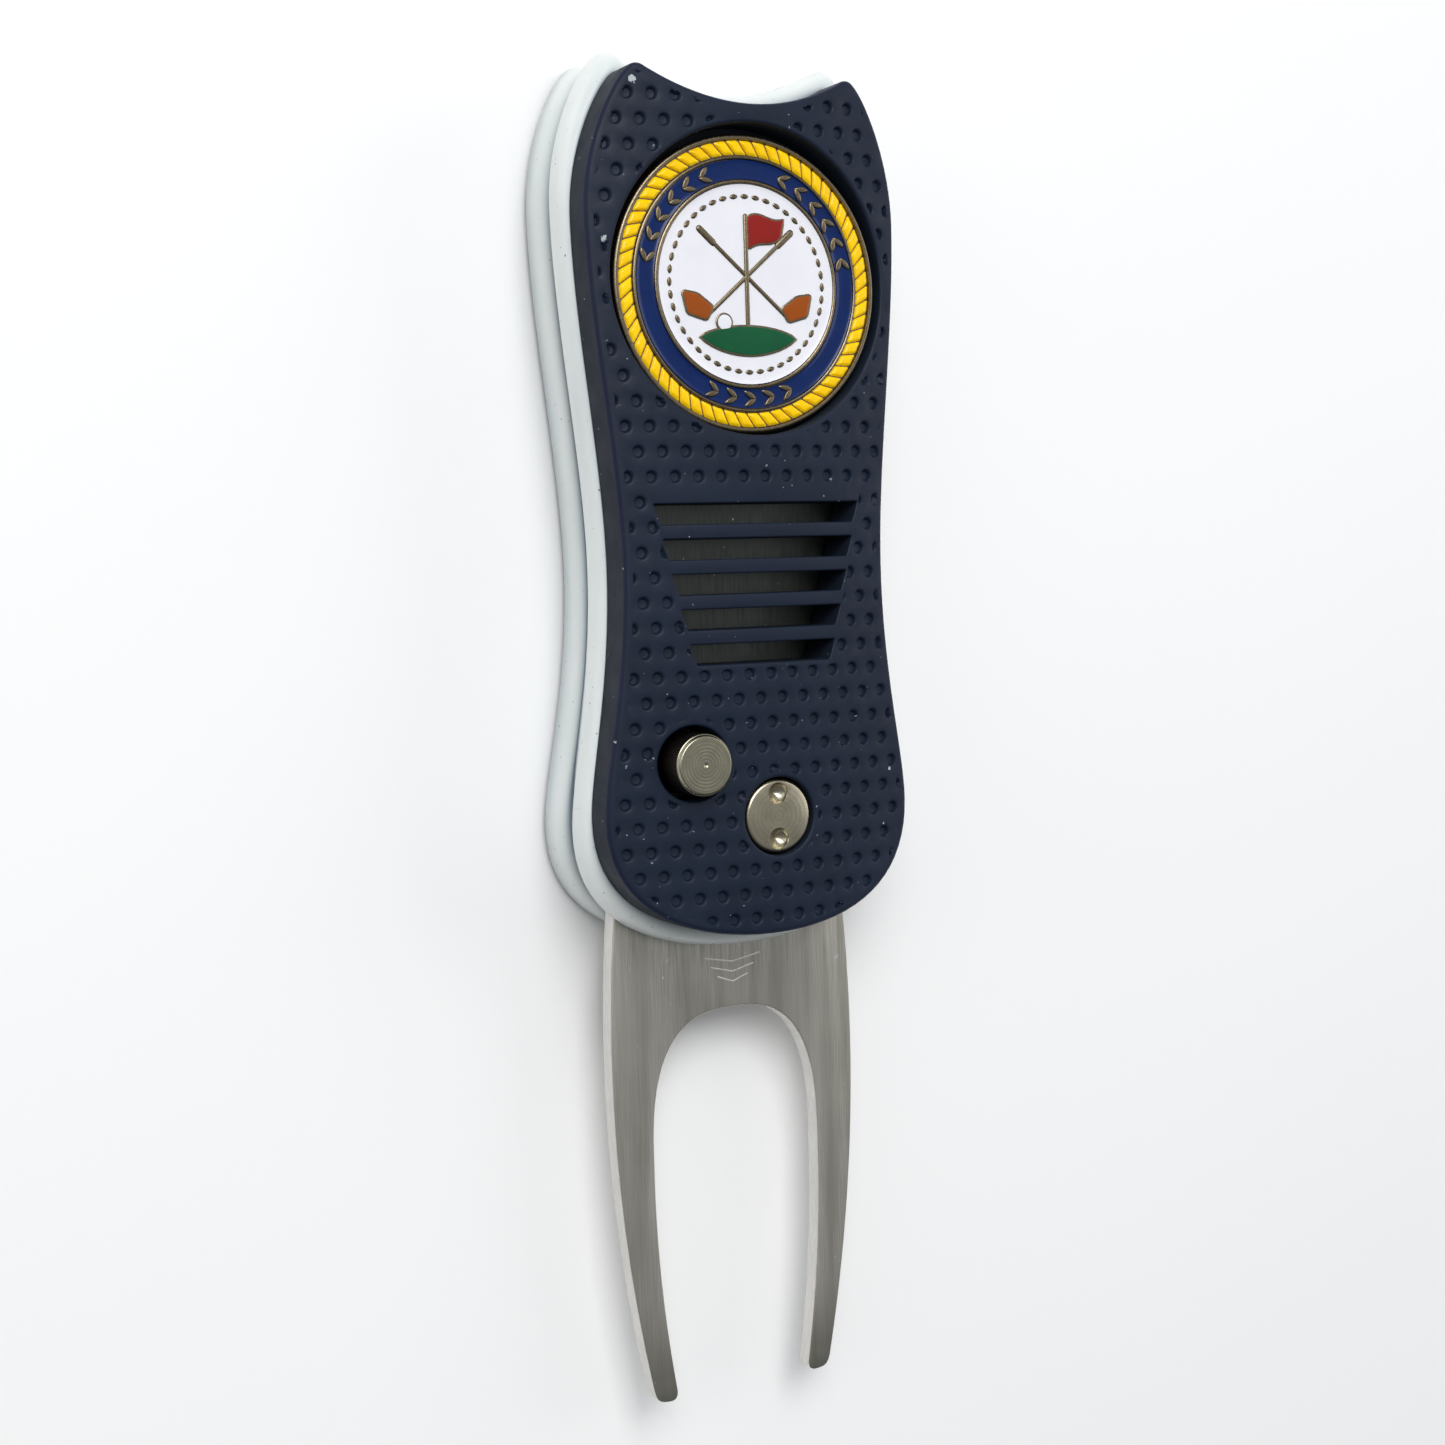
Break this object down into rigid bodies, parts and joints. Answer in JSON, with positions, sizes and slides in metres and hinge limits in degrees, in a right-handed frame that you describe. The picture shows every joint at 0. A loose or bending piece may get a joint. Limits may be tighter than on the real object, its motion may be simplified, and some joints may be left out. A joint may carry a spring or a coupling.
{
  "type": "divot repair tool",
  "caption": "Folding golf divot repair tool: a steel fork swings out of a two-plate handle with a dimpled grip cover, a lock button and a round ball marker held by a magnet.",
  "frame": {"origin": "under the middle of the open tool, on the surface its back rests on", "axes": "+Z out of the front face, +Y along the tool towards its two ears, +X to the right seen from the front"},
  "size_m": [0.0296, 0.112, 0.0151],
  "materials": {
    "navy_grip": "matte, dimpled, dark navy",
    "white_paint": "satin cool off-white",
    "brushed_steel": "brushed across",
    "fork_steel": "brushed lengthwise, warm grey",
    "magnet": "bright plated",
    "enamel_marker": "glossy coloured enamel in a cast metal rim",
    "warm_nickel": "turned, warm nickel",
    "bearing_bronze": "satin",
    "spring_steel": "plain",
    "screw_steel": "plain"
  },
  "bodies": {
    "handle": {"front_cover": "navy_grip", "front_plate": "white_paint", "louvre_backing_plate": "brushed_steel", "marker_magnet": "magnet", "pivot_screw": "warm_nickel", "pivot_nut": "warm_nickel", "pivot_bush": "bearing_bronze", "rear_washer": "bearing_bronze", "torsion_spring": "spring_steel", "button_spring": "spring_steel", "stop_pin": "warm_nickel", "spine_spacer": "white_paint", "rear_plate": "white_paint", "rear_grip_panel": "navy_grip", "rear_screw_1": "screw_steel", "rear_screw_2": "screw_steel", "rear_screw_3": "screw_steel", "cover_screw_1": "screw_steel", "cover_screw_2": "screw_steel", "cover_screw_3": "screw_steel", "cover_screw_4": "screw_steel"},
    "fork": {"fork_blade": "fork_steel"},
    "button": {"lock_button": "warm_nickel"},
    "marker": {"ball_marker": "enamel_marker"}
  },
  "joints": [
    {"name": "fork_hinge", "type": "hinge", "parent": "handle", "child": "fork", "pos_m": [0.0009, -0.0058, 0.005], "axis": [0, 0, 1], "range_deg": [0, 180], "stiffness_Nm_per_rad": 0.01, "springref_deg": -28.65},
    {"name": "button_press", "type": "slide", "parent": "handle", "child": "button", "axis": [0, 0, -1], "range_m": [0, 0.0015], "stiffness_N_per_m": 200, "deforming": ["button_spring"]},
    {"name": "marker_lift", "type": "slide", "parent": "handle", "child": "marker", "axis": [0, 0, 1], "range_m": [0, 0.02]}
  ]
}
